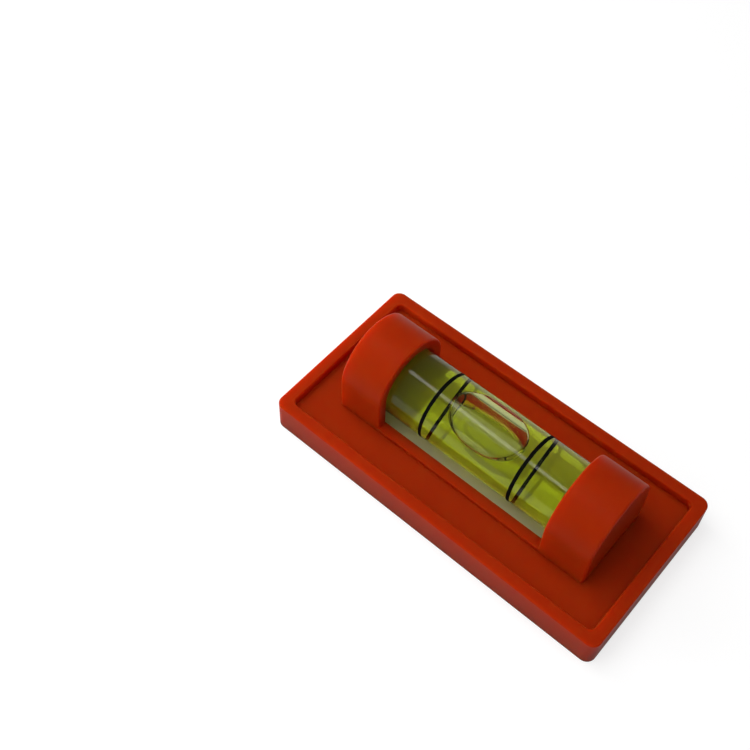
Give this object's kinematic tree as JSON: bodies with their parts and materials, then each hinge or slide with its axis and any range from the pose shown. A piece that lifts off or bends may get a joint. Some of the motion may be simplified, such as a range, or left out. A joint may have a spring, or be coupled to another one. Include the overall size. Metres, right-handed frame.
{
  "type": "bubble inclinometer",
  "caption": "Small rectangular bubble level: a clear round vial with a fluid, an air bubble and two index rings lies under two arched end hoods on a moulded plate with a raised rim, and a magnet sheet backs it",
  "frame": {"origin": "middle of the flat back face, which lies at Z = 0", "axes": "+X along the vial and the long side, +Y across to the other long side, +Z out of the back towards the arched vial"},
  "size_m": [0.06, 0.03, 0.0173],
  "materials": {
    "housing_plastic": "satin moulded plastic",
    "vial_acrylic": "clear polished acrylic",
    "ring_ink": "black index ring",
    "bubble_air": "air in the fluid",
    "level_fluid": "clear yellow-green fluid",
    "magnet_rubber": "matte flexible magnet sheet",
    "film": "double-sided adhesive film"
  },
  "bodies": {
    "level": {"housing": "housing_plastic", "vial_body": "vial_acrylic", "vial_end_plug": "vial_acrylic", "index_ring_left": "ring_ink", "index_ring_right": "ring_ink", "level_fluid": "level_fluid", "magnet_sheet": "magnet_rubber", "adhesive_film": "film"},
    "bubble": {"air_bubble": "bubble_air"}
  },
  "joints": [
    {"name": "bubble_travel", "type": "slide", "parent": "level", "child": "bubble", "axis": [1, 0, 0], "range_m": [-0.0105, 0.0105], "stiffness_N_per_m": 0.02, "deforming": ["level_fluid"]}
  ]
}
